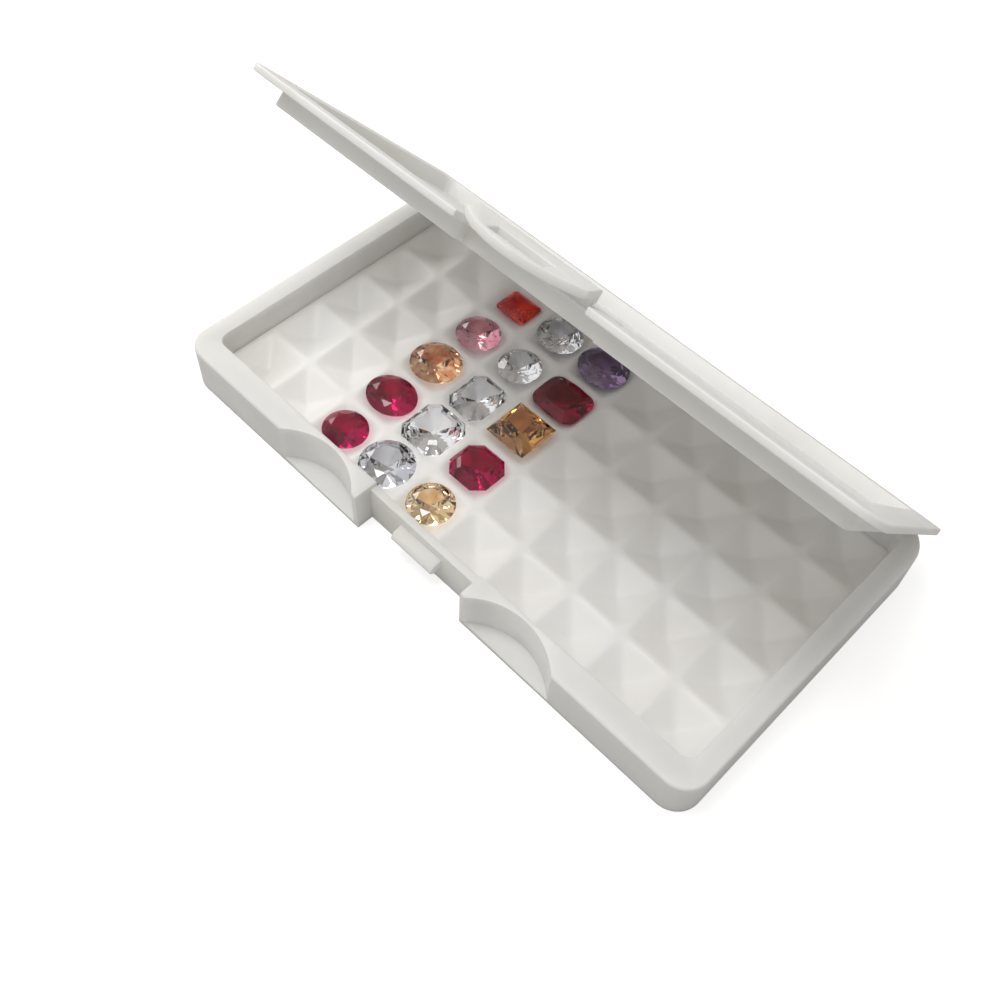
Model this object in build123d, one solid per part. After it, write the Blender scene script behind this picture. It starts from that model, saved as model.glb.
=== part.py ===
from build123d import *
from math import atan, atan2, copysign, cos, pi, radians, sin, sqrt, tan
import os

# Gemstone display case: a moulded cell tray, a dished lid on a film hinge, a latch flap on a
# second film hinge, and faceted stones that rest in the cells.
# Millimetres, +X along the case, +Y from the latch to the hinge, +Z up.
# The origin is on the table, at the centre of the case.

# Cell field
cell_pitch = 12.0
column_count = 10
row_count = 5
ridge_flat = 0.7
pit_depth = 2.8
pit_floor_flat = 0.6
floor_skin = 0.7
foot_gap = 0.1

# Tray rim
rim_side = 4.0
rim_front = 5.5
rim_rear = 4.2
rim_rise = 6.3
wall = 1.2
front_corner_radius = 5.0
rear_corner_radius = 7.0
pocket_corner_radius = 2.3
rim_edge_radius = 0.5

# Finger notches either side of the latch
notch_offset = 24.8
notch_width = 20.4
notch_depth = 4.3
notch_floor = 1.0

# Latch recess and snap tongue in the tray's front wall
recess_width = 27.0
recess_depth = 3.5
recess_drop = 1.0
tongue_width = 10.4
tongue_reach = 2.6
tongue_underside = 4.2
tongue_height = 2.6
tongue_nose = 0.7

# Lid
lid_gap = 0.1
plate_thickness = 1.3
plate_edge_radius = 0.35
plate_rear_corner = 1.0
dish_clearance = 0.5
dish_drop = 3.0
dish_floor = 1.2
dish_set_back = 2.4
dish_set_back_width = 29.2
lid_rest_angle = 48.0

# Main film hinge along the rear edge
hinge_reach = 0.6
hinge_bead_radius = 0.45
hinge_running_gap = 0.06
hinge_film = 0.4
hinge_plate_gap = 0.9

# Latch flap and its film hinge
flap_side_gap = 1.2
flap_cut_depth = 5.0
flap_web_width = 2.6
flap_thickness = 1.5
flap_end_height = 4.3
flap_middle_height = 9.6
flap_edge_radius = 0.6
flap_web_bevel = 0.5
flap_window_width = 11.2
flap_window_clearance = 0.4
flap_window_top = 4.1
flap_bead_radius = 0.3
flap_film = 0.4
flap_rest_angle = 75.0

# Stones: the cuts
culet_gap = 0.05
girdle_thickness = 0.2
table_share = 0.58
crown_slope = 32.0
pavilion_slope = 35.0
brilliant_mains = 8
girdle_tilt = 6.0
star_tilt = 12.0
lower_girdle_tilt = 1.5
pavilion_steps = ((0.06, 1.0), (0.42, 0.62), (0.76, 0.28), (1.0, 0.0))
crown_steps = ((0.88, 0.45), (0.73, 0.8), (0.58, 1.0))
cushion_facets = 16
princess_chevrons = ((15, 33.5), (-15, 33.5), (30, 41.0), (-30, 41.0), (45, 70.0))

# How far a cutting tool reaches past what it cuts
overcut = 1.0

# Stones: name, column from the left, row from the front, cut, length, width, corner
stones = (
    ("ruby_oval_a1", 3, 1, "brilliant", 9.4, 9.0, 0),
    ("ruby_oval_a2", 3, 2, "brilliant", 11.2, 9.4, 0),
    ("champagne_oval_a3", 3, 3, "brilliant", 11.0, 10.4, 0),
    ("pink_oval_a4", 3, 4, "brilliant", 9.6, 9.2, 0),
    ("orange_rectangle_a5", 3, 5, "steps", 7.8, 6.4, 0.5),
    ("clear_round_b1", 4, 1, "brilliant", 11.0, 11.0, 0),
    ("clear_emerald_b2", 4, 2, "steps", 10.4, 10.8, 1.9),
    ("clear_emerald_b3", 4, 3, "steps", 8.8, 10.4, 1.7),
    ("clear_round_b4", 4, 4, "brilliant", 9.0, 9.0, 0),
    ("clear_oval_b5", 4, 5, "brilliant", 10.0, 9.2, 0),
    ("champagne_round_c1", 5, 1, "brilliant", 9.4, 9.4, 0),
    ("ruby_cushion_c2", 5, 2, "steps", 9.8, 9.4, 2.2),
    ("champagne_square_c3", 5, 3, "princess", 9.5, 9.5, 0),
    ("ruby_cushion_c4", 5, 4, "cushion", 11.0, 9.0, 2.4),
    ("violet_oval_c5", 5, 5, "brilliant", 11.2, 9.8, 0),
)

# Sizes that follow from the ones above
field_length = column_count * cell_pitch
field_width = row_count * cell_pitch
ridge_height = foot_gap + floor_skin + pit_depth
tray_height = ridge_height + rim_rise
case_length = field_length + ridge_flat + 2 * rim_side
case_depth = rim_front + field_width + rim_rear + hinge_reach + hinge_bead_radius
front_face = -case_depth / 2
field_front = front_face + rim_front
field_rear = field_front + field_width
rear_face = field_rear + rim_rear
field_middle = (field_front + field_rear) / 2
tray_middle = (front_face + rear_face) / 2
pocket_length = field_length + ridge_flat
pocket_width = field_width + ridge_flat
pit_top = cell_pitch - ridge_flat
hinge_y = rear_face + hinge_reach
hinge_z = tray_height + lid_gap / 2
plate_bottom = tray_height + lid_gap
plate_top = plate_bottom + plate_thickness
flap_width = recess_width - 2 * flap_side_gap
flap_hinge_y = front_face + (flap_cut_depth + flap_web_width) / 2
flap_hinge_z = plate_bottom + flap_film / 2
hinge_film_length = case_length - 2 * rear_corner_radius


def block(x_size, y_low, y_high, z_low, z_high):
    """A box centred on X between the given Y and Z."""
    middle = Location((0, (y_low + y_high) / 2, (z_low + z_high) / 2))
    return middle * Box(x_size, y_high - y_low, z_high - z_low)


def rod(length, radius, y_axis, z_axis):
    """A round bar along X."""
    return Location((0, y_axis, z_axis), (0, 90, 0)) * Cylinder(radius, length)


def rounded_slab(length, width, radius, y_middle, z_low, z_high):
    """A rectangle with round corners, raised between two heights."""
    outline = Location((0, y_middle, z_low)) * RectangleRounded(length, width, radius)
    return extrude(outline, amount=z_high - z_low)


def tray_block(inset, z_low, z_high):
    """The tray's outer form, drawn in by inset: its rear corners are rounder than its front ones."""
    outline = Rectangle(case_length - 2 * inset, rear_face - front_face - 2 * inset)
    outline = fillet(outline.vertices().sort_by(Axis.Y)[:2], front_corner_radius - inset)
    outline = fillet(outline.vertices().sort_by(Axis.Y)[-2:], rear_corner_radius - inset)
    return extrude(Location((0, tray_middle, z_low)) * outline, amount=z_high - z_low)


def pit_pyramids(z_top):
    """One square pyramid with a small flat tip for every cell, pointing down from z_top."""
    grid = GridLocations(cell_pitch, cell_pitch, column_count, row_count)
    top = Location((0, 0, 0)) * Rectangle(pit_top, pit_top)
    tip = Location((0, 0, -pit_depth)) * Rectangle(pit_floor_flat, pit_floor_flat)
    pyramid = loft([top, tip])
    place = Location((0, field_middle, z_top))
    return [place * spot * pyramid for spot in grid.locations]


def notch_arc(extra):
    """The D-shaped plan of one finger notch, grown outwards by extra."""
    half = notch_width / 2
    radius = (half**2 + notch_depth**2) / (2 * notch_depth)
    centre_y = front_face + notch_depth - radius
    return Location((0, centre_y)) * Circle(radius + extra)


def notches(extra, z_low):
    """Both finger notches as cutting tools."""
    tool = extrude(Location((0, 0, z_low)) * notch_arc(extra), amount=tray_height + overcut - z_low)
    reach = notch_width / 2 + extra
    tool = tool & block(2 * reach, front_face - overcut, field_middle, z_low, tray_height + overcut)
    return [Location((side * notch_offset, 0, 0)) * tool for side in (-1, 1)]


def make_tray():
    """The moulded tray: cells and pocket above, hollow rim and cell backs below."""
    tray = tray_block(0, 0, tray_height)
    tray = fillet(tray.faces().sort_by(Axis.Z)[-1].edges(), rim_edge_radius)
    pocket = rounded_slab(
        pocket_length,
        pocket_width,
        pocket_corner_radius,
        field_middle,
        ridge_height,
        tray_height + overcut,
    )
    recess_wall = front_face + recess_depth
    recess = block(recess_width, front_face - overcut, recess_wall, -overcut, tray_height + overcut)
    recess_lip = block(
        recess_width,
        recess_wall - overcut,
        field_front + overcut,
        tray_height - recess_drop,
        tray_height + overcut,
    )
    tray = tray - pocket - pit_pyramids(ridge_height) - notches(0, notch_floor) - recess - recess_lip

    # The underside is hollow, one wall thickness inside every outer surface.
    hollow = tray_block(wall, -overcut, tray_height - wall)
    pocket_back = rounded_slab(
        pocket_length + 2 * wall,
        pocket_width + 2 * wall,
        pocket_corner_radius + wall,
        field_middle,
        ridge_height - floor_skin,
        tray_height,
    )
    recess_back = block(recess_width + 2 * wall, front_face - overcut, field_front, -overcut, tray_height)
    skirt_of_cells = rounded_slab(
        pocket_length + 2 * wall,
        pocket_width + 2 * wall,
        pocket_corner_radius + wall,
        field_middle,
        foot_gap,
        ridge_height,
    )
    cell_back = rounded_slab(
        pocket_length, pocket_width, pocket_corner_radius, field_middle, foot_gap, ridge_height
    )
    hollow = hollow - pocket_back - notches(wall, -overcut) - recess_back
    hollow = hollow - (skirt_of_cells - cell_back)
    hollow = hollow - pit_pyramids(ridge_height - floor_skin)
    tray = tray - hollow
    return tray + snap_tongue()


def snap_tongue():
    """The tongue in the latch recess that the flap's window drops over."""
    root = front_face + recess_depth
    nose = root - tongue_reach
    low = tongue_underside
    high = tongue_underside + tongue_height
    outline = Polyline(
        (root + wall / 2, low),
        (nose + tongue_nose, low),
        (nose, low + tongue_nose),
        (nose, high - 2 * tongue_nose),
        (nose + tongue_nose, high - tongue_nose / 2),
        (root + wall / 2, high),
        close=True,
    )
    profile = Plane.YZ * make_face(outline)
    return extrude(profile, amount=tongue_width / 2, both=True)


def dish_outline(shrink):
    """Plan of the lid's dish, shrunk by its wall for the inside."""
    length = pocket_length - 2 * dish_clearance
    width = pocket_width - 2 * dish_clearance
    front_edge = field_middle - width / 2
    outline = Location((0, field_middle)) * RectangleRounded(
        length - 2 * shrink, width - 2 * shrink, pocket_corner_radius
    )
    step_depth = dish_set_back + shrink
    step = Location((0, front_edge)) * Rectangle(dish_set_back_width + 2 * shrink, 2 * step_depth)
    return outline - step


def make_lid():
    """The lid, drawn closed: a flanged plate with a dish that drops inside the tray's rim."""
    rear_edge = hinge_y - hinge_plate_gap
    plate_outline = Location((0, (front_face + rear_edge) / 2)) * Rectangle(
        case_length, rear_edge - front_face
    )
    corners = plate_outline.vertices().sort_by(Axis.Y)
    plate_outline = fillet(corners[:2], front_corner_radius)
    plate_outline = fillet(plate_outline.vertices().sort_by(Axis.Y)[-2:], plate_rear_corner)
    plate = extrude(Location((0, 0, plate_bottom)) * plate_outline, amount=plate_thickness)
    plate = fillet(plate.faces().sort_by(Axis.Z)[-1].edges(), plate_edge_radius)
    dish_bottom = plate_bottom - dish_drop
    dish = extrude(Location((0, 0, dish_bottom)) * dish_outline(0), amount=plate_top - dish_bottom)
    inside = extrude(
        Location((0, 0, dish_bottom + dish_floor)) * dish_outline(wall), amount=dish_drop + plate_thickness
    )
    flap_cut = block(
        recess_width,
        front_face - overcut,
        front_face + flap_cut_depth,
        plate_bottom - overcut,
        plate_top + overcut,
    )
    seat = block(
        hinge_film_length,
        rear_edge - wall,
        hinge_y - hinge_bead_radius / 2,
        plate_bottom,
        hinge_z + hinge_bead_radius + hinge_film - lid_gap,
    )
    bead_space = rod(case_length, hinge_bead_radius + hinge_running_gap, hinge_y, hinge_z)
    return plate - flap_cut + dish - inside + seat - bead_space


def make_main_film():
    """The film along the rear edge: a land on the tray and a bead on the hinge axis."""
    bead = rod(hinge_film_length, hinge_bead_radius, hinge_y, hinge_z)
    land = block(hinge_film_length, rear_face, hinge_y, hinge_z - hinge_bead_radius, hinge_z - lid_gap / 2)
    return bead + land


def make_latch_film():
    """The film at the lid's front edge: a land on the lid and a bead on the flap's axis."""
    bead = rod(flap_width, flap_bead_radius, flap_hinge_y, flap_hinge_z)
    land = block(
        flap_width, flap_hinge_y, front_face + flap_cut_depth, plate_bottom, plate_bottom + flap_film
    )
    return bead + land


def make_flap():
    """The latch flap, drawn closed: a short web and a D-shaped face with a window."""
    half = flap_width / 2
    face_line = Line((-half, plate_top), (half, plate_top))
    right_end = Line(face_line @ 1, (half, plate_top - flap_end_height))
    lower_arc = ThreePointArc(
        right_end @ 1, (0, plate_top - flap_middle_height), (-half, plate_top - flap_end_height)
    )
    left_end = Line(lower_arc @ 1, face_line @ 0)
    face = Plane.XZ * make_face([face_line, right_end, lower_arc, left_end])
    shield = Location((0, front_face + flap_thickness, 0)) * extrude(face, amount=flap_thickness)
    web = block(flap_width, front_face, front_face + flap_web_width, plate_bottom, plate_top)
    flap = shield + web
    flap = fillet(flap.edges().filter_by(Axis.X).group_by(Axis.Z)[-1].sort_by(Axis.Y)[0], flap_edge_radius)
    flap = chamfer(flap.edges().filter_by(Axis.X).group_by(Axis.Z)[-1].sort_by(Axis.Y)[-1], flap_web_bevel)
    window = block(
        flap_window_width,
        front_face - overcut,
        front_face + flap_thickness + overcut,
        tongue_underside - flap_window_clearance,
        plate_top - flap_window_top,
    )
    land = block(
        flap_width,
        front_face + flap_web_width - flap_film,
        flap_hinge_y,
        plate_bottom,
        plate_bottom + flap_film,
    )
    bead_space = rod(case_length, flap_bead_radius + hinge_running_gap, flap_hinge_y, flap_hinge_z)
    return flap - window + land - bead_space


def open_lid(piece):
    """Swing a piece of the lid from closed to where it rests open."""
    return piece.rotate(Axis((0, hinge_y, hinge_z), (-1, 0, 0)), lid_rest_angle)


def open_flap(piece):
    """Unfold the flap from closed, before it swings with the lid."""
    return piece.rotate(Axis((0, flap_hinge_y, flap_hinge_z), (-1, 0, 0)), flap_rest_angle)


def grind(stone, point, azimuth, lean):
    """Grind one flat facet through point. It faces azimuth and leans by that angle from level:
    upwards on the crown, or downwards on the pavilion when the lean is negative."""
    up = cos(lean) if lean > 0 else -cos(lean)
    spread = sin(abs(lean))
    normal = Vector(spread * cos(azimuth), spread * sin(azimuth), up)
    return split(stone, bisect_by=Plane(point, z_dir=normal), keep=Keep.BOTTOM)


def oval_touches(length, width, repeats, first):
    """Points round an oval girdle, each with the direction that its facet faces."""
    touches = []
    for index in range(repeats):
        turn = radians(first + 360 * index / repeats)
        azimuth = atan2(sin(turn) / width, cos(turn) / length)
        touches.append((length / 2 * cos(turn), width / 2 * sin(turn), azimuth))
    return touches


def cushion_touches(length, width, corner, repeats):
    """The same for a girdle that is a rectangle with round corners."""
    touches = []
    for index in range(repeats):
        azimuth = 2 * pi * (index + 0.5) / repeats
        x_centre = copysign(length / 2 - corner, cos(azimuth))
        y_centre = copysign(width / 2 - corner, sin(azimuth))
        x_touch = x_centre + corner * cos(azimuth)
        y_touch = y_centre + corner * sin(azimuth)
        touches.append((x_touch, y_touch, azimuth))
    return touches


def grind_tier(stone, touches, shorter_half, slope, share, height):
    """Grind a ring of facets at height, through the girdle's outline scaled by share. A facet
    further from the middle leans less, so that the whole tier would meet at one point."""
    for x_touch, y_touch, azimuth in touches:
        reach = x_touch * cos(azimuth) + y_touch * sin(azimuth)
        lean = atan(tan(radians(slope)) * shorter_half / reach)
        stone = grind(stone, Vector(x_touch * share, y_touch * share, height), azimuth, lean)
    return stone


def stone_depth(length, width):
    """Depth of a stone below its girdle, from its shorter side."""
    return min(length, width) / 2 * tan(radians(pavilion_slope))


def stone_crown(length, width):
    """Height of a stone's table above its girdle."""
    return min(length, width) / 2 * (1 - table_share) * tan(radians(crown_slope))


def raise_blank(outline, length, width):
    """The rough stone: its outline raised from well below the culet to the table."""
    low = -min(length, width)
    high = girdle_thickness + stone_crown(length, width)
    return extrude(Location((0, 0, low)) * outline, amount=high - low)


def cut_brilliant(length, width):
    """A round or oval brilliant: stars, kites and upper girdle facets over a pavilion of mains
    and lower girdle facets."""
    stone = raise_blank(Ellipse(length / 2, width / 2), length, width)
    half = min(length, width) / 2
    top = girdle_thickness + stone_crown(length, width)
    half_step = 360 / brilliant_mains / 2
    star_reach = table_share * cos(radians(half_step))
    mains = oval_touches(length, width, brilliant_mains, 0)
    stars = oval_touches(length, width, brilliant_mains, half_step)
    halves = oval_touches(length, width, 2 * brilliant_mains, half_step / 2)
    stone = grind_tier(stone, mains, half, crown_slope, 1, girdle_thickness)
    stone = grind_tier(stone, halves, half, crown_slope + girdle_tilt, 1, girdle_thickness)
    stone = grind_tier(stone, stars, half, crown_slope - star_tilt, star_reach, top)
    stone = grind_tier(stone, mains, half, -pavilion_slope, 1, 0)
    return grind_tier(stone, halves, half, -pavilion_slope - lower_girdle_tilt, 1, 0)


def cut_steps(length, width, corner):
    """An emerald cut: steps of flat facets round a rectangle with cut corners."""
    depth = stone_depth(length, width)
    crown = stone_crown(length, width)
    levels = [(share, -depth * drop) for share, drop in pavilion_steps]
    levels += [(1, girdle_thickness)]
    levels += [(share, girdle_thickness + crown * rise) for share, rise in crown_steps]
    outlines = []
    for share, height in levels:
        outline = chamfer(Rectangle(length * share, width * share).vertices(), corner * share)
        outlines.append(Location((0, 0, height)) * outline)
    return loft(outlines, ruled=True)


def cut_cushion(length, width, corner):
    """A cushion cut: a rectangle with round corners, one tier of facets above and one below."""
    stone = raise_blank(RectangleRounded(length, width, corner), length, width)
    half = min(length, width) / 2
    touches = cushion_touches(length, width, corner, cushion_facets)
    stone = grind_tier(stone, touches, half, crown_slope, 1, girdle_thickness)
    return grind_tier(stone, touches, half, -pavilion_slope, 1, 0)


def cut_princess(length, width):
    """A princess cut: a square with sharp corners, and chevrons below that fan from each corner."""
    stone = raise_blank(Rectangle(length, width), length, width)
    top = girdle_thickness + stone_crown(length, width)
    for quarter in range(4):
        facing = quarter * pi / 2
        half = length / 2 if quarter % 2 == 0 else width / 2
        outward = Vector(cos(facing), sin(facing), 0)
        edge = outward * half + Vector(0, 0, girdle_thickness)
        table_edge = outward * half * table_share + Vector(0, 0, top)
        stone = grind(stone, edge, facing, radians(crown_slope + girdle_tilt))
        stone = grind(stone, table_edge, facing, radians(crown_slope - star_tilt))
        corner = outward.rotate(Axis.Z, 45) * half * sqrt(2)
        for turn, lean in princess_chevrons:
            stone = grind(stone, corner, facing + pi / 4 + radians(turn), radians(-lean))
    return stone


def cut_stone(cut, length, width, corner):
    """One stone with its girdle's lower edge at zero height."""
    if cut == "brilliant":
        return cut_brilliant(length, width)
    if cut == "steps":
        return cut_steps(length, width, corner)
    if cut == "cushion":
        return cut_cushion(length, width, corner)
    return cut_princess(length, width)


def seat_stone(stone, column, row):
    """Stand a stone on its culet in the cell of the given column and row."""
    x_middle = (column - (column_count + 1) / 2) * cell_pitch
    y_middle = field_middle + (row - (row_count + 1) / 2) * cell_pitch
    lowest = stone.bounding_box().min.Z
    pit_floor = ridge_height - pit_depth
    return Location((x_middle, y_middle, pit_floor + culet_gap - lowest)) * stone


os.makedirs("parts", exist_ok=True)
export_step(make_tray(), "parts/cell_tray.step")
export_step(make_main_film(), "parts/main_hinge_film.step")
export_step(open_lid(make_lid()), "parts/lid.step")
export_step(open_lid(make_latch_film()), "parts/latch_hinge_film.step")
export_step(open_lid(open_flap(make_flap())), "parts/latch_flap.step")
for name, column, row, cut, length, width, corner in stones:
    export_step(seat_stone(cut_stone(cut, length, width, corner), column, row), f"parts/{name}.step")
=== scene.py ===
import bpy
import bmesh
from math import cos, radians, sin
from mathutils import Matrix, Vector


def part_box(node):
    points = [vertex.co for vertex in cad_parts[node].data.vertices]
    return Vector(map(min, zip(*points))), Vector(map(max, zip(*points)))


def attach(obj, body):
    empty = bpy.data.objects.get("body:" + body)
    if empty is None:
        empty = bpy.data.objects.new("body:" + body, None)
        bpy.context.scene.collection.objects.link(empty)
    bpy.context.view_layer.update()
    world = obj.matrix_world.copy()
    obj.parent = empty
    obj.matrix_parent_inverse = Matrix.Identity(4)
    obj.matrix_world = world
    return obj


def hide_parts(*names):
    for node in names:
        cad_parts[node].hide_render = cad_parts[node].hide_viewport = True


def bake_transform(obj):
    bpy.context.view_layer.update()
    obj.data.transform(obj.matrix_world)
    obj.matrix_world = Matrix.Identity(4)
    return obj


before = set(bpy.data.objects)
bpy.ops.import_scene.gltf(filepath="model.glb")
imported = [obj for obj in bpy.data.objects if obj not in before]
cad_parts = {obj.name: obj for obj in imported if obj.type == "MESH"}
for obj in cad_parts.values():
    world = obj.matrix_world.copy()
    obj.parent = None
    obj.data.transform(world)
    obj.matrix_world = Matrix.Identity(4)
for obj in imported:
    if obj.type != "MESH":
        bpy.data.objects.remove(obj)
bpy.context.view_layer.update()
mm = 0.001

# Sizes of the case that the pieces below share, in millimetres, as the moulding has them.
case = {
    "cellPitch": 12.0, "columns": 10, "rows": 5, "ridgeHeight": 3.6, "pitDepth": 2.8,
    "floorSkin": 0.7, "ridgeFlat": 0.7, "pitFlat": 0.6, "fieldMiddleY": 0.125,
    "hingeY": 34.925, "hingeZ": 9.95, "lidAngle": 48.0, "flapAngle": 75.0,
    "flapHingeY": -31.575, "flapHingeZ": 10.2,
}


def linearOf(hexColour):
    # sRGB hex as a colour picker gives it, to the linear values that sockets take
    parts = [int(hexColour[i:i + 2], 16) / 255 for i in (1, 3, 5)]
    return [p / 12.92 if p <= 0.04045 else ((p + 0.055) / 1.055) ** 2.4 for p in parts] + [1.0]


def addNode(tree, kind, inputs=None, **settings):
    # settings are the node's own; an input takes a value, or the socket that it is linked from
    node = tree.nodes.new(kind)
    for name, value in settings.items():
        setattr(node, name, value)
    for key, value in (inputs or {}).items():
        if isinstance(value, bpy.types.NodeSocket):
            tree.links.new(value, node.inputs[key])
        else:
            node.inputs[key].default_value = value
    return node


# Where a Mix node keeps its two colours and the mixed one.
colourA, colourB, mixedColour = 6, 7, 2


def startMaterial(name):
    material = bpy.data.materials.new(name)
    material.use_nodes = True
    material.node_tree.nodes.clear()
    return material, material.node_tree


# Injection moulded polypropylene, natural white. Light sinks in a little, so edges look soft and
# milky, and the tool's fine spark finish breaks the reflections into a satin sheen.
plastic = {
    "lightTone": "#EEEDEA", "darkTone": "#E7E5E1",
    "cloudSize": 22.0, "cloudDetail": 3.0, "cloudBand": (0.35, 0.65),
    "grainSize": 0.35, "grainDetail": 2.0, "grainBand": (0.3, 0.7), "grainDepth": 0.012, "grainStrength": 0.5,
    "flowSize": 9.0, "flowDetail": 1.0, "flowDepth": 0.03, "flowStrength": 0.35,
    "roughLow": 0.36, "roughHigh": 0.5, "ior": 1.49,
    "lightDepth": 3.0, "lightShare": 0.55, "lightReach": (1.0, 0.93, 0.84),
}


def mouldedPolypropylene(name, tone):
    material, tree = startMaterial(name)
    place = addNode(tree, "ShaderNodeTexCoord").outputs["Object"]
    cloud, grain, flow = [addNode(tree, "ShaderNodeTexNoise", {
        "Vector": place, "Scale": 1 / (tone[layer + "Size"] * mm), "Detail": tone[layer + "Detail"],
    }).outputs["Fac"] for layer in ("cloud", "grain", "flow")]
    spread = addNode(tree, "ShaderNodeMapRange", {
        "Value": cloud, "From Min": tone["cloudBand"][0], "From Max": tone["cloudBand"][1],
    })
    colour = addNode(tree, "ShaderNodeMix", {
        "Factor": spread.outputs["Result"],
        colourA: linearOf(tone["darkTone"]), colourB: linearOf(tone["lightTone"]),
    }, data_type="RGBA")
    rough = addNode(tree, "ShaderNodeMapRange", {
        "Value": grain, "From Min": tone["grainBand"][0], "From Max": tone["grainBand"][1],
        "To Min": tone["roughLow"], "To Max": tone["roughHigh"],
    })
    flowBump = addNode(tree, "ShaderNodeBump", {
        "Height": flow, "Strength": tone["flowStrength"], "Distance": tone["flowDepth"] * mm,
    })
    grainBump = addNode(tree, "ShaderNodeBump", {
        "Height": grain, "Strength": tone["grainStrength"], "Distance": tone["grainDepth"] * mm,
        "Normal": flowBump.outputs["Normal"],
    })
    shader = addNode(tree, "ShaderNodeBsdfPrincipled", {
        "Base Color": colour.outputs[mixedColour], "Roughness": rough.outputs["Result"], "IOR": tone["ior"],
        "Normal": grainBump.outputs["Normal"], "Subsurface Weight": tone["lightShare"],
        "Subsurface Scale": tone["lightDepth"] * mm, "Subsurface Radius": tone["lightReach"],
    })
    addNode(tree, "ShaderNodeOutputMaterial", {"Surface": shader.outputs["BSDF"]})
    return material


polypropylene = mouldedPolypropylene("moulded_polypropylene_white", plastic)

# The same plastic over the cells with a whiter colour: painted light, standing in for the light that
# the cell walls scatter back and forth between them, which makes the field look whiter than the rim.
paintedLightPlastic = dict(plastic, lightTone="#F9F8F6", darkTone="#F3F1EE", lightDepth=1.0, lightShare=0.12)
paintedLightPolypropylene = mouldedPolypropylene("polypropylene_white_painted_light", paintedLightPlastic)

# The same plastic where it is rolled thin at the hinges: flexing turns it whiter and clouds its gloss.
hingePlastic = dict(plastic, lightTone="#F5F5F3", darkTone="#EEEEEA", cloudSize=2.5, grainSize=0.25,
                    roughLow=0.45, roughHigh=0.6, lightShare=0.3)
flexedPolypropylene = mouldedPolypropylene("flexed_polypropylene_white", hingePlastic)
print("plastic materials made")


# Faceted and polished stones: synthetic corundum for the reds, cubic zirconia for the others. Each has
# its own tints, so that facets flash between a deep and a light tone, and an index of refraction
# that is mostly brought down from the real one, until its table is as clear as in daylight. A row
# holds the material's name, its light tint, its deep tint, the index and, where it isn't the usual
# one, the size of its zones in millimetres.
stoneTones = {
    "ruby": ("faceted_corundum_ruby", "#B8084C", "#840438", 1.6),
    "darkRuby": ("faceted_corundum_dark_ruby", "#B40A3E", "#8C0630", 1.6),
    "peachChampagne": ("faceted_zirconia_peach", "#F2CC9C", "#C0643A", 1.9, 1.6),
    "paleChampagne": ("faceted_zirconia_champagne", "#F6DDB4", "#D8AE74", 2.15),
    "goldChampagne": ("faceted_zirconia_gold", "#E0A660", "#B0702F", 1.9),
    "pinkStone": ("faceted_zirconia_pink", "#F0B0BE", "#D0788E", 1.9),
    "orangeRed": ("faceted_zirconia_orange_red", "#FF5638", "#E62E1C", 1.65),
    "violetStone": ("faceted_zirconia_violet", "#AC8EB6", "#785A88", 1.8),
    "clearStone": ("faceted_zirconia_clear", "#F6F6F8", "#DFE1E6", 1.8),
    "clearBrilliant": ("faceted_zirconia_clear_brilliant", "#DCDDE2", "#AEB0B9", 2.0),
}
stoneFinish = {
    "zoneSize": 4.0, "zoneDetail": 1.0, "zoneBand": (0.38, 0.62),
    "polishSize": 0.8, "polishDepth": 0.002, "polishStrength": 0.2, "roughLow": 0.0, "roughHigh": 0.03,
}


def facetedStone(name, lightTint, deepTint, ior, zoneSize=None):
    material, tree = startMaterial(name)
    place = addNode(tree, "ShaderNodeTexCoord").outputs["Object"]
    zone = addNode(tree, "ShaderNodeTexNoise", {
        "Vector": place, "Scale": 1 / ((zoneSize or stoneFinish["zoneSize"]) * mm),
        "Detail": stoneFinish["zoneDetail"],
    })
    polish = addNode(tree, "ShaderNodeTexNoise", {
        "Vector": place, "Scale": 1 / (stoneFinish["polishSize"] * mm),
    })
    spread = addNode(tree, "ShaderNodeMapRange", {
        "Value": zone.outputs["Fac"],
        "From Min": stoneFinish["zoneBand"][0], "From Max": stoneFinish["zoneBand"][1],
    })
    colour = addNode(tree, "ShaderNodeMix", {
        "Factor": spread.outputs["Result"], colourA: linearOf(deepTint), colourB: linearOf(lightTint),
    }, data_type="RGBA")
    rough = addNode(tree, "ShaderNodeMapRange", {
        "Value": polish.outputs["Fac"], "To Min": stoneFinish["roughLow"], "To Max": stoneFinish["roughHigh"],
    })
    bump = addNode(tree, "ShaderNodeBump", {
        "Height": polish.outputs["Fac"], "Strength": stoneFinish["polishStrength"],
        "Distance": stoneFinish["polishDepth"] * mm,
    })
    shader = addNode(tree, "ShaderNodeBsdfPrincipled", {
        "Base Color": colour.outputs[mixedColour], "Roughness": rough.outputs["Result"], "IOR": ior,
        "Normal": bump.outputs["Normal"], "Transmission Weight": 1.0,
    })
    addNode(tree, "ShaderNodeOutputMaterial", {"Surface": shader.outputs["BSDF"]})
    return material


stoneOf = {
    "ruby_oval_a1": "ruby", "ruby_oval_a2": "ruby", "champagne_oval_a3": "peachChampagne",
    "pink_oval_a4": "pinkStone", "orange_rectangle_a5": "orangeRed", "clear_round_b1": "clearBrilliant",
    "clear_emerald_b2": "clearStone", "clear_emerald_b3": "clearStone", "clear_round_b4": "clearStone",
    "clear_oval_b5": "clearStone", "champagne_round_c1": "paleChampagne", "ruby_cushion_c2": "ruby",
    "champagne_square_c3": "goldChampagne", "ruby_cushion_c4": "darkRuby", "violet_oval_c5": "violetStone",
}
stoneMaterials = {tone: facetedStone(*values) for tone, values in stoneTones.items()}
for nodeName, tone in stoneOf.items():
    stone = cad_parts[nodeName]
    stone.data.materials.clear()
    stone.data.materials.append(stoneMaterials[tone])
    stone.visible_shadow = False  # a clear stone lets the light through to its cell
print("stone materials made:", len(stoneMaterials))


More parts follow.
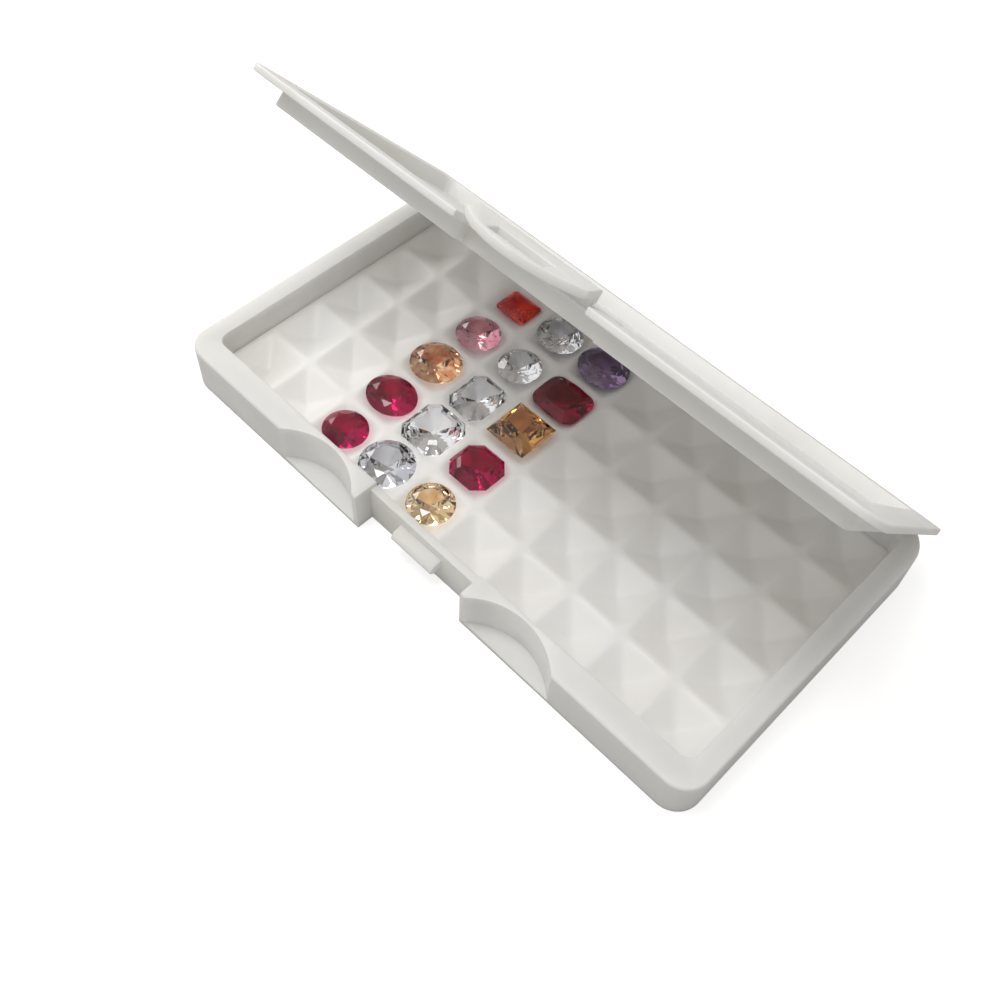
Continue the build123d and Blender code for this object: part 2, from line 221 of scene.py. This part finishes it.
creaseAngle = 32.0  # an edge that turns more than this stays crisp in the shading


def finishMesh(piece, material):
    mesh = piece.data
    mesh.polygons.foreach_set("use_smooth", [True] * len(mesh.polygons))
    mesh.set_sharp_from_angle(angle=radians(creaseAngle))
    mesh.materials.clear()
    mesh.materials.append(material)
    mesh.update()


def bakeModifiers(piece):
    evaluated = piece.evaluated_get(bpy.context.evaluated_depsgraph_get())
    plain = bpy.data.meshes.new_from_object(evaluated)
    piece.modifiers.clear()
    piece.data = plain
    plain.name = piece.name


# A moulding's soft-edged copy of a CAD node: doubles merged, flat triangles joined, its sharp edges
# given the small radius that a mould's cutter leaves. Edges that stand on the table, that face the
# emptied box or that are too short for the radius stay sharp. Angles are in degrees.
softEdge = {
    "steps": 2, "softFrom": 50.0, "footHeight": 0.5, "boxMargin": 0.3, "joined": 0.002, "flatWithin": 0.6,
}
trayEdge = {"radius": 0.12, "shortest": 0.0}
plateEdge = {"radius": 0.2, "shortest": 0.25}


def mouldedCopy(nodeName, pieceName, edgeForm, emptied=None):
    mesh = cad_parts[nodeName].data.copy()
    mesh.name = pieceName
    piece = bpy.data.objects.new(pieceName, mesh)
    bpy.context.scene.collection.objects.link(piece)
    body = bmesh.new()
    body.from_mesh(mesh)
    bmesh.ops.remove_doubles(body, verts=body.verts, dist=softEdge["joined"] * mm)
    if emptied is not None:
        # take out the faces inside the box, then join the two rims that they leave
        low, high = [[c * mm for c in corner] for corner in emptied]
        inside = [
            face for face in body.faces
            if all(a < c < b for a, c, b in zip(low, face.calc_center_median(), high))
        ]
        bmesh.ops.delete(body, geom=inside, context="FACES")
        bmesh.ops.bridge_loops(body, edges=[edge for edge in body.edges if edge.is_boundary])
    flatAngle = radians(softEdge["flatWithin"])
    bmesh.ops.dissolve_limit(body, angle_limit=flatAngle, verts=body.verts, edges=body.edges)
    softness = body.edges.layers.float.new("bevel_weight_edge")
    margin = softEdge["boxMargin"] * mm
    for edge in body.edges:
        places = [corner.co for corner in edge.verts]
        sharp = edge.calc_face_angle(0.0) > radians(softEdge["softFrom"])
        standing = min(place.z for place in places) < softEdge["footHeight"] * mm
        facing = emptied is not None and any(
            all(a - margin < c < b + margin for a, c, b in zip(low, place, high)) for place in places
        )
        if sharp and not standing and not facing and edge.calc_length() > edgeForm["shortest"] * mm:
            edge[softness] = 1.0
    body.to_mesh(mesh)
    body.free()
    bevel = piece.modifiers.new("softEdges", "BEVEL")
    bevel.width, bevel.segments = edgeForm["radius"] * mm, softEdge["steps"]
    bevel.limit_method, bevel.use_clamp_overlap, bevel.loop_slide = "WEIGHT", False, False
    bakeModifiers(piece)
    # no rounded corner stands outside the node's own box, and no face is left without an area
    low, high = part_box(nodeName)
    body = bmesh.new()
    body.from_mesh(piece.data)
    for corner in body.verts:
        corner.co = [min(max(c, a), b) for c, a, b in zip(corner.co, low, high)]
    bmesh.ops.remove_doubles(body, verts=body.verts, dist=softEdge["joined"] * mm)
    bmesh.ops.dissolve_degenerate(body, edges=body.edges, dist=softEdge["joined"] * mm)
    body.to_mesh(piece.data)
    body.free()
    finishMesh(piece, polypropylene)
    return piece


# The cell field: one skin of inverted pyramids on a square pitch, soft along its ridges and in
# its valleys, and the same shape below at the skin's thickness.
fieldShape = {
    "stepsPerCell": 24, "ridgeRounding": 0.5, "valleyRounding": 4.0, "tipRounding": 0.4, "tuckedIn": 0.5,
    "joined": 0.0001,
}


def cellFieldTree():
    tree = bpy.data.node_groups.new("cellFieldTree", "GeometryNodeTree")
    labels = (
        "Cell pitch", "Columns", "Rows", "Steps per cell", "Ridge height", "Pit depth", "Ridge flat",
        "Pit flat", "Skin", "Ridge rounding", "Valley rounding", "Tip rounding", "Tucked in", "Middle Y",
        "Joined",
    )
    for label in labels:
        tree.interface.new_socket(label, in_out="INPUT", socket_type="NodeSocketFloat")
    tree.interface.new_socket("Plastic", in_out="INPUT", socket_type="NodeSocketMaterial")
    tree.interface.new_socket("Field", in_out="OUTPUT", socket_type="NodeSocketGeometry")
    given = addNode(tree, "NodeGroupInput").outputs
    spot = addNode(tree, "ShaderNodeSeparateXYZ", {0: addNode(tree, "GeometryNodeInputPosition").outputs[0]})
    known = {label: given[label] for label in labels}
    known.update({"X": spot.outputs["X"], "Y": spot.outputs["Y"]})
    # each row works out one length from the ones above it: its name, the sum, and what goes in
    rows = (
        ("tuck", "MULTIPLY", "Tucked in", 2.0), ("border", "ADD", "Ridge flat", "tuck"),
        ("cellsX", "MULTIPLY", "Cell pitch", "Columns"), ("lengthX", "ADD", "cellsX", "border"),
        ("cellsY", "MULTIPLY", "Cell pitch", "Rows"), ("lengthY", "ADD", "cellsY", "border"),
        # points each way: the cells' steps, one more step for the border at each end, and the last point
        ("stepsX", "MULTIPLY", "Columns", "Steps per cell"), ("countX", "ADD", "stepsX", 3.0),
        ("stepsY", "MULTIPLY", "Rows", "Steps per cell"), ("countY", "ADD", "stepsY", 3.0),
        ("half", "DIVIDE", "Cell pitch", 2.0),
        # how far the spot is from the nearest ridge, each way and then overall
        ("halfX", "DIVIDE", "cellsX", 2.0), ("fromEndX", "ADD", "X", "halfX"),
        ("halfY", "DIVIDE", "cellsY", 2.0), ("fromEndY", "ADD", "Y", "halfY"),
        ("toRidgeX", "PINGPONG", "fromEndX", "half"), ("toRidgeY", "PINGPONG", "fromEndY", "half"),
        ("nearer", "MINIMUM", "toRidgeX", "toRidgeY"), ("downShare", "DIVIDE", "nearer", "half"),
        ("upShare", "SUBTRACT", 1.0, "downShare"), ("rounding", "MULTIPLY", "Valley rounding", "upShare"),
        ("toRidge", "SMOOTH_MIN", "toRidgeX", "toRidgeY", "rounding"),
        # how deep the wall is there, from the ridge's flat down to the pit's
        ("halfFlat", "DIVIDE", "Ridge flat", 2.0), ("pastFlat", "SUBTRACT", "toRidge", "halfFlat"),
        ("run", "SMOOTH_MAX", "pastFlat", 0.0, "Ridge rounding"),
        ("halfPit", "DIVIDE", "Pit flat", 2.0), ("toPit", "SUBTRACT", "half", "halfPit"),
        ("wholeRun", "SUBTRACT", "toPit", "halfFlat"), ("slope", "DIVIDE", "Pit depth", "wholeRun"),
        ("fall", "MULTIPLY", "run", "slope"), ("sunk", "SMOOTH_MIN", "fall", "Pit depth", "Tip rounding"),
        ("lowTop", "SUBTRACT", "Ridge height", "Skin"), ("newZ", "SUBTRACT", "lowTop", "sunk"),
        ("newY", "ADD", "Y", "Middle Y"),
    )
    for label, operation, *values in rows:
        inputs = {index: known.get(value, value) for index, value in enumerate(values)}
        known[label] = addNode(tree, "ShaderNodeMath", inputs, operation=operation).outputs[0]
    grid = addNode(tree, "GeometryNodeMeshGrid", {
        "Size X": known["lengthX"], "Size Y": known["lengthY"],
        "Vertices X": known["countX"], "Vertices Y": known["countY"],
    })
    lowered = addNode(tree, "ShaderNodeCombineXYZ", {"X": known["X"], "Y": known["newY"], "Z": known["newZ"]})
    underside = addNode(tree, "GeometryNodeSetPosition", {
        "Geometry": grid.outputs["Mesh"], "Position": lowered.outputs[0],
    })
    upwards = addNode(tree, "ShaderNodeCombineXYZ", {"Z": 1.0})
    raised = addNode(tree, "GeometryNodeExtrudeMesh", {
        "Mesh": underside.outputs["Geometry"], "Offset": upwards.outputs[0], "Offset Scale": given["Skin"],
        "Individual": False,
    }, mode="FACES")
    bottom = addNode(tree, "GeometryNodeFlipFaces", {"Mesh": underside.outputs["Geometry"]})
    both = addNode(tree, "GeometryNodeJoinGeometry", {0: raised.outputs["Mesh"]})
    tree.links.new(bottom.outputs["Mesh"], both.inputs[0])
    sealed = addNode(tree, "GeometryNodeMergeByDistance", {
        "Geometry": both.outputs[0], "Distance": given["Joined"],
    })
    whole = addNode(tree, "GeometryNodeRealizeInstances", {"Geometry": sealed.outputs[0]})
    coated = addNode(tree, "GeometryNodeSetMaterial", {
        "Geometry": whole.outputs[0], "Material": given["Plastic"],
    })
    addNode(tree, "NodeGroupOutput", {0: coated.outputs[0]})
    return tree


def growFromTree(pieceName, tree, values):
    piece = bpy.data.objects.new(pieceName, bpy.data.meshes.new(pieceName))
    bpy.context.scene.collection.objects.link(piece)
    modifier = piece.modifiers.new(tree.name, "NODES")
    modifier.node_group = tree
    for item in tree.interface.items_tree:
        if item.in_out == "INPUT" and item.name in values:
            modifier[item.identifier] = values[item.name]
    bakeModifiers(piece)
    return piece


# The field wears the copy of the plastic whose whiter colour is painted light.
cellField = growFromTree("cell_field", cellFieldTree(), {
    "Cell pitch": case["cellPitch"] * mm, "Columns": float(case["columns"]), "Rows": float(case["rows"]),
    "Steps per cell": float(fieldShape["stepsPerCell"]), "Ridge height": case["ridgeHeight"] * mm,
    "Pit depth": case["pitDepth"] * mm, "Ridge flat": case["ridgeFlat"] * mm,
    "Pit flat": case["pitFlat"] * mm, "Skin": case["floorSkin"] * mm,
    "Ridge rounding": fieldShape["ridgeRounding"] * mm, "Valley rounding": fieldShape["valleyRounding"] * mm,
    "Tip rounding": fieldShape["tipRounding"] * mm, "Tucked in": fieldShape["tuckedIn"] * mm,
    "Joined": fieldShape["joined"] * mm, "Middle Y": case["fieldMiddleY"] * mm, "Plastic": paintedLightPolypropylene,
})
cellField.data.polygons.foreach_set("material_index", [0] * len(cellField.data.polygons))
finishMesh(cellField, paintedLightPolypropylene)
print("cell field:", len(cellField.data.polygons), "faces")

# The tray's rim, walls and front, without the cell field that the piece above makes. The field is
# taken out by a box that stops just inside the field's edge and just above its ridges.
fieldCut = {"inset": 0.02, "below": 1.0, "above": 0.05}
fieldHalfX = case["cellPitch"] * case["columns"] / 2 + case["ridgeFlat"] / 2 - fieldCut["inset"]
fieldHalfY = case["cellPitch"] * case["rows"] / 2 + case["ridgeFlat"] / 2 - fieldCut["inset"]
trayRim = mouldedCopy("cell_tray", "tray_rim", trayEdge, (
    (-fieldHalfX, case["fieldMiddleY"] - fieldHalfY, -fieldCut["below"]),
    (fieldHalfX, case["fieldMiddleY"] + fieldHalfY, case["ridgeHeight"] + fieldCut["above"]),
))
lidShell = mouldedCopy("lid", "lid_shell", plateEdge)
flapShell = mouldedCopy("latch_flap", "flap_shell", plateEdge)
print("moulded shells:", [(p.name, len(p.data.polygons)) for p in (trayRim, lidShell, flapShell)])


# The film hinges: a thin web of the same plastic from wall to wall through the hinge's axis. The
# points give how far its line is from the axis, in Y and Z, on each member as if the case were shut.
mainWeb = {
    "length": 114.7, "lengthSteps": 48, "thickness": 0.4,
    "onTray": ((-0.75, -0.32), (-0.4, -0.28)), "onLid": ((-0.3, 0.3), (-0.8, 0.34)),
}
latchWeb = {
    "length": 24.6, "lengthSteps": 16, "thickness": 0.35,
    "onLid": ((1.35, 0.0), (0.5, 0.0)), "onFlap": ((-0.5, 0.0), (-1.5, 0.0)),
}
lineSteps = 4  # pieces of line from one point to the next
waistShare = 0.62  # of the web's thickness, halfway across, where it bends


def turned(point, axisY, axisZ, degrees):
    # a point of a swinging member, turned about the hinge as it opens
    y, z, turn = point[0] - axisY, point[1] - axisZ, radians(degrees)
    return (axisY + y * cos(turn) + z * sin(turn), axisZ - y * sin(turn) + z * cos(turn))


def smoothLine(points, steps):
    # a Catmull-Rom line through the points, in the plane across the hinge
    line = []
    padded = [points[0]] + list(points) + [points[-1]]
    for a, b, c, d in zip(padded, padded[1:], padded[2:], padded[3:]):
        for step in range(steps):
            t = step / steps
            line.append(tuple(0.5 * (
                2 * q + (r - p) * t + (2 * p - 5 * q + 4 * r - s) * t * t + (3 * q - p - 3 * r + s) * t ** 3
            ) for p, q, r, s in zip(a, b, c, d)))
    return line + [tuple(points[-1])]


def filmWeb(pieceName, line, web):
    normals = []
    for index in range(len(line)):
        before, after = line[max(index - 1, 0)], line[min(index + 1, len(line) - 1)]
        along = Vector((after[0] - before[0], after[1] - before[1])).normalized()
        normals.append((-along.y, along.x))
    last = len(line) - 1
    halfOf = [
        web["thickness"] / 2 * (waistShare + (1 - waistShare) * (2 * index / last - 1) ** 2)
        for index in range(len(line))
    ]
    upper = [(p[0] + n[0] * h, p[1] + n[1] * h) for p, n, h in zip(line, normals, halfOf)]
    lower = [(p[0] - n[0] * h, p[1] - n[1] * h) for p, n, h in zip(line, normals, halfOf)]
    loop = upper + lower[::-1]
    body = bmesh.new()
    rings = []
    for step in range(web["lengthSteps"] + 1):
        x = (step / web["lengthSteps"] - 0.5) * web["length"]
        rings.append([body.verts.new((x * mm, y * mm, z * mm)) for y, z in loop])
    for first, second in zip(rings, rings[1:]):
        for index in range(len(loop)):
            following = (index + 1) % len(loop)
            body.faces.new((first[index], first[following], second[following], second[index]))
    body.faces.new(rings[0])
    body.faces.new(rings[-1][::-1])
    bmesh.ops.recalc_face_normals(body, faces=body.faces)
    mesh = bpy.data.meshes.new(pieceName)
    body.to_mesh(mesh)
    body.free()
    piece = bpy.data.objects.new(pieceName, mesh)
    bpy.context.scene.collection.objects.link(piece)
    finishMesh(piece, flexedPolypropylene)
    return piece


hingeY, hingeZ = case["hingeY"], case["hingeZ"]
flapY, flapZ = case["flapHingeY"], case["flapHingeZ"]


def onLid(y, z):
    return turned((y, z), hingeY, hingeZ, case["lidAngle"])


def onFlap(y, z):
    return onLid(*turned((y, z), flapY, flapZ, case["flapAngle"]))


mainLine = smoothLine([
    *[(hingeY + y, hingeZ + z) for y, z in mainWeb["onTray"]], (hingeY, hingeZ),
    *[onLid(hingeY + y, hingeZ + z) for y, z in mainWeb["onLid"]],
], lineSteps)
mainFilm = filmWeb("main_film_web", mainLine, mainWeb)
latchLine = smoothLine([
    *[onLid(flapY + y, flapZ + z) for y, z in latchWeb["onLid"]], onLid(flapY, flapZ),
    *[onFlap(flapY + y, flapZ + z) for y, z in latchWeb["onFlap"]],
], lineSteps)
latchFilm = filmWeb("latch_film_web", latchLine, latchWeb)
print("film webs made")

for piece, bodyName, nodeName in (
    (cellField, "base", "cell_tray"), (trayRim, "base", "cell_tray"), (lidShell, "lid_body", "lid"),
    (flapShell, "flap_body", "latch_flap"),
):
    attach(piece, bodyName)
    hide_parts(nodeName)


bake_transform(mainFilm)
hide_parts("main_hinge_film")
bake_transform(latchFilm)
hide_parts("latch_hinge_film")

# Table top: smooth white laminate, pale enough to fall away behind the case.
table = {
    "tone": "#D2D2D0", "toneSpot": "#CBCBC9", "spotSize": 60.0, "spotDetail": 2.0,
    "rough": 0.85, "sheen": 0.2, "glow": 0.62, "size": 3000.0,
}


def laminateTable():
    material, tree = startMaterial("laminate_white")
    place = addNode(tree, "ShaderNodeTexCoord").outputs["Object"]
    spots = addNode(tree, "ShaderNodeTexNoise", {
        "Vector": place, "Scale": 1 / (table["spotSize"] * mm), "Detail": table["spotDetail"],
    })
    colour = addNode(tree, "ShaderNodeMix", {
        "Factor": spots.outputs["Fac"],
        colourA: linearOf(table["toneSpot"]), colourB: linearOf(table["tone"]),
    }, data_type="RGBA")
    matt = addNode(tree, "ShaderNodeBsdfPrincipled", {
        "Base Color": colour.outputs[mixedColour], "Roughness": table["rough"],
        "Specular IOR Level": table["sheen"],
    })
    glow = addNode(tree, "ShaderNodeEmission", {"Strength": table["glow"]})
    lit = addNode(tree, "ShaderNodeAddShader", {0: matt.outputs["BSDF"], 1: glow.outputs["Emission"]})
    seen = addNode(tree, "ShaderNodeLightPath").outputs["Is Camera Ray"]
    # its own glow is for the eye alone and lights nothing
    mixed = addNode(tree, "ShaderNodeMixShader", {0: seen, 1: matt.outputs["BSDF"], 2: lit.outputs["Shader"]})
    addNode(tree, "ShaderNodeOutputMaterial", {"Surface": mixed.outputs["Shader"]})
    return material


tableHalf = table["size"] / 2 * mm
tableCorners = [(x * tableHalf, y * tableHalf, 0.0) for x, y in ((-1, -1), (1, -1), (1, 1), (-1, 1))]
floorMesh = bpy.data.meshes.new("table_top")
floorMesh.from_pydata(tableCorners, [], [(0, 1, 2, 3)])
floorMesh.materials.append(laminateTable())
floor = bpy.data.objects.new("table_top", floorMesh)
bpy.context.scene.collection.objects.link(floor)

# Room light: a pale room, brighter overhead and towards its window on the left. What is seen of it,
# straight or through the stones, is white.
room = {
    "tone": "#FBFAF8", "dim": 0.37, "bright": 0.7, "windowWay": (-0.3, -0.1, 0.95), "dimFrom": -0.2,
    "seenTone": "#FFFFFF", "seenAs": 1.0,
}
world = bpy.data.worlds.new("pale_room")
bpy.context.scene.world = world
world.use_nodes = True
roomTree = world.node_tree
roomTree.nodes.clear()
rayKind = addNode(roomTree, "ShaderNodeLightPath").outputs
looking = addNode(roomTree, "ShaderNodeMath", {
    0: rayKind["Is Camera Ray"], 1: rayKind["Is Transmission Ray"],
}, operation="MAXIMUM")
towards = addNode(roomTree, "ShaderNodeVectorMath", {
    0: addNode(roomTree, "ShaderNodeTexCoord").outputs["Generated"],
    1: Vector(room["windowWay"]).normalized(),
}, operation="DOT_PRODUCT")
strength = addNode(roomTree, "ShaderNodeMapRange", {
    "Value": towards.outputs["Value"], "From Min": room["dimFrom"],
    "To Min": room["dim"], "To Max": room["bright"],
})
fill = addNode(roomTree, "ShaderNodeBackground", {
    "Color": linearOf(room["tone"]), "Strength": strength.outputs["Result"],
})
seenWhite = addNode(roomTree, "ShaderNodeBackground", {
    "Color": linearOf(room["seenTone"]), "Strength": room["seenAs"],
})
chosen = addNode(roomTree, "ShaderNodeMixShader", {
    0: looking.outputs[0], 1: fill.outputs["Background"], 2: seenWhite.outputs["Background"],
})
addNode(roomTree, "ShaderNodeOutputWorld", {"Surface": chosen.outputs["Shader"]})

# Lamps: a soft box over the case, a little to its left, so that the lid shades the cells behind it,
# and a window on the left that reaches in under the lid's end.
lamps = {
    "softBox": {"at": (-90, -75, 560), "size": 220, "watts": 0.98, "tone": "#FFFEFC"},
    "leftWindow": {"at": (-300, 60, 200), "size": 160, "watts": 0.26, "tone": "#FFFEFC"},
}
lampAim = (0, 0, 10)
for lampName, lamp in lamps.items():
    light = bpy.data.lights.new(lampName, "AREA")
    light.energy, light.size = lamp["watts"], lamp["size"] * mm
    light.color = linearOf(lamp["tone"])[:3]
    holder = bpy.data.objects.new(lampName, light)
    holder.location = [c * mm for c in lamp["at"]]
    towardsCase = Vector([c * mm for c in lampAim]) - holder.location
    holder.rotation_euler = towardsCase.to_track_quat("-Z", "Y").to_euler()
    bpy.context.scene.collection.objects.link(holder)

# Camera: stands to the right and in front of the case and looks down on it.
view = {
    "at": (80.92, -104.22, 182.99), "right": (0.70718, 0.70578, 0.04211), "up": (-0.5966, 0.5637, 0.57124),
    "lens": 41.619, "sensorWidth": 36.0, "shiftX": 0.0029, "shiftY": -0.0229,
    "nearest": 5.0, "farthest": 20000.0,
}
cameraData = bpy.data.cameras.new("photo_camera")
camera = bpy.data.objects.new("photo_camera", cameraData)
bpy.context.scene.collection.objects.link(camera)
cameraData.sensor_width, cameraData.lens = view["sensorWidth"], view["lens"]
cameraData.shift_x, cameraData.shift_y = view["shiftX"], view["shiftY"]
rightWay, upWay = Vector(view["right"]).normalized(), Vector(view["up"]).normalized()
turn = Matrix((rightWay, upWay, rightWay.cross(upWay))).transposed().to_4x4()
camera.matrix_world = Matrix.Translation([c * mm for c in view["at"]]) @ turn
cameraData.clip_start, cameraData.clip_end = view["nearest"] * mm, view["farthest"] * mm
bpy.context.scene.camera = camera
bpy.context.scene.view_settings.view_transform = "Standard"
print("stage, lamps and camera set")

bpy.context.view_layer.update()
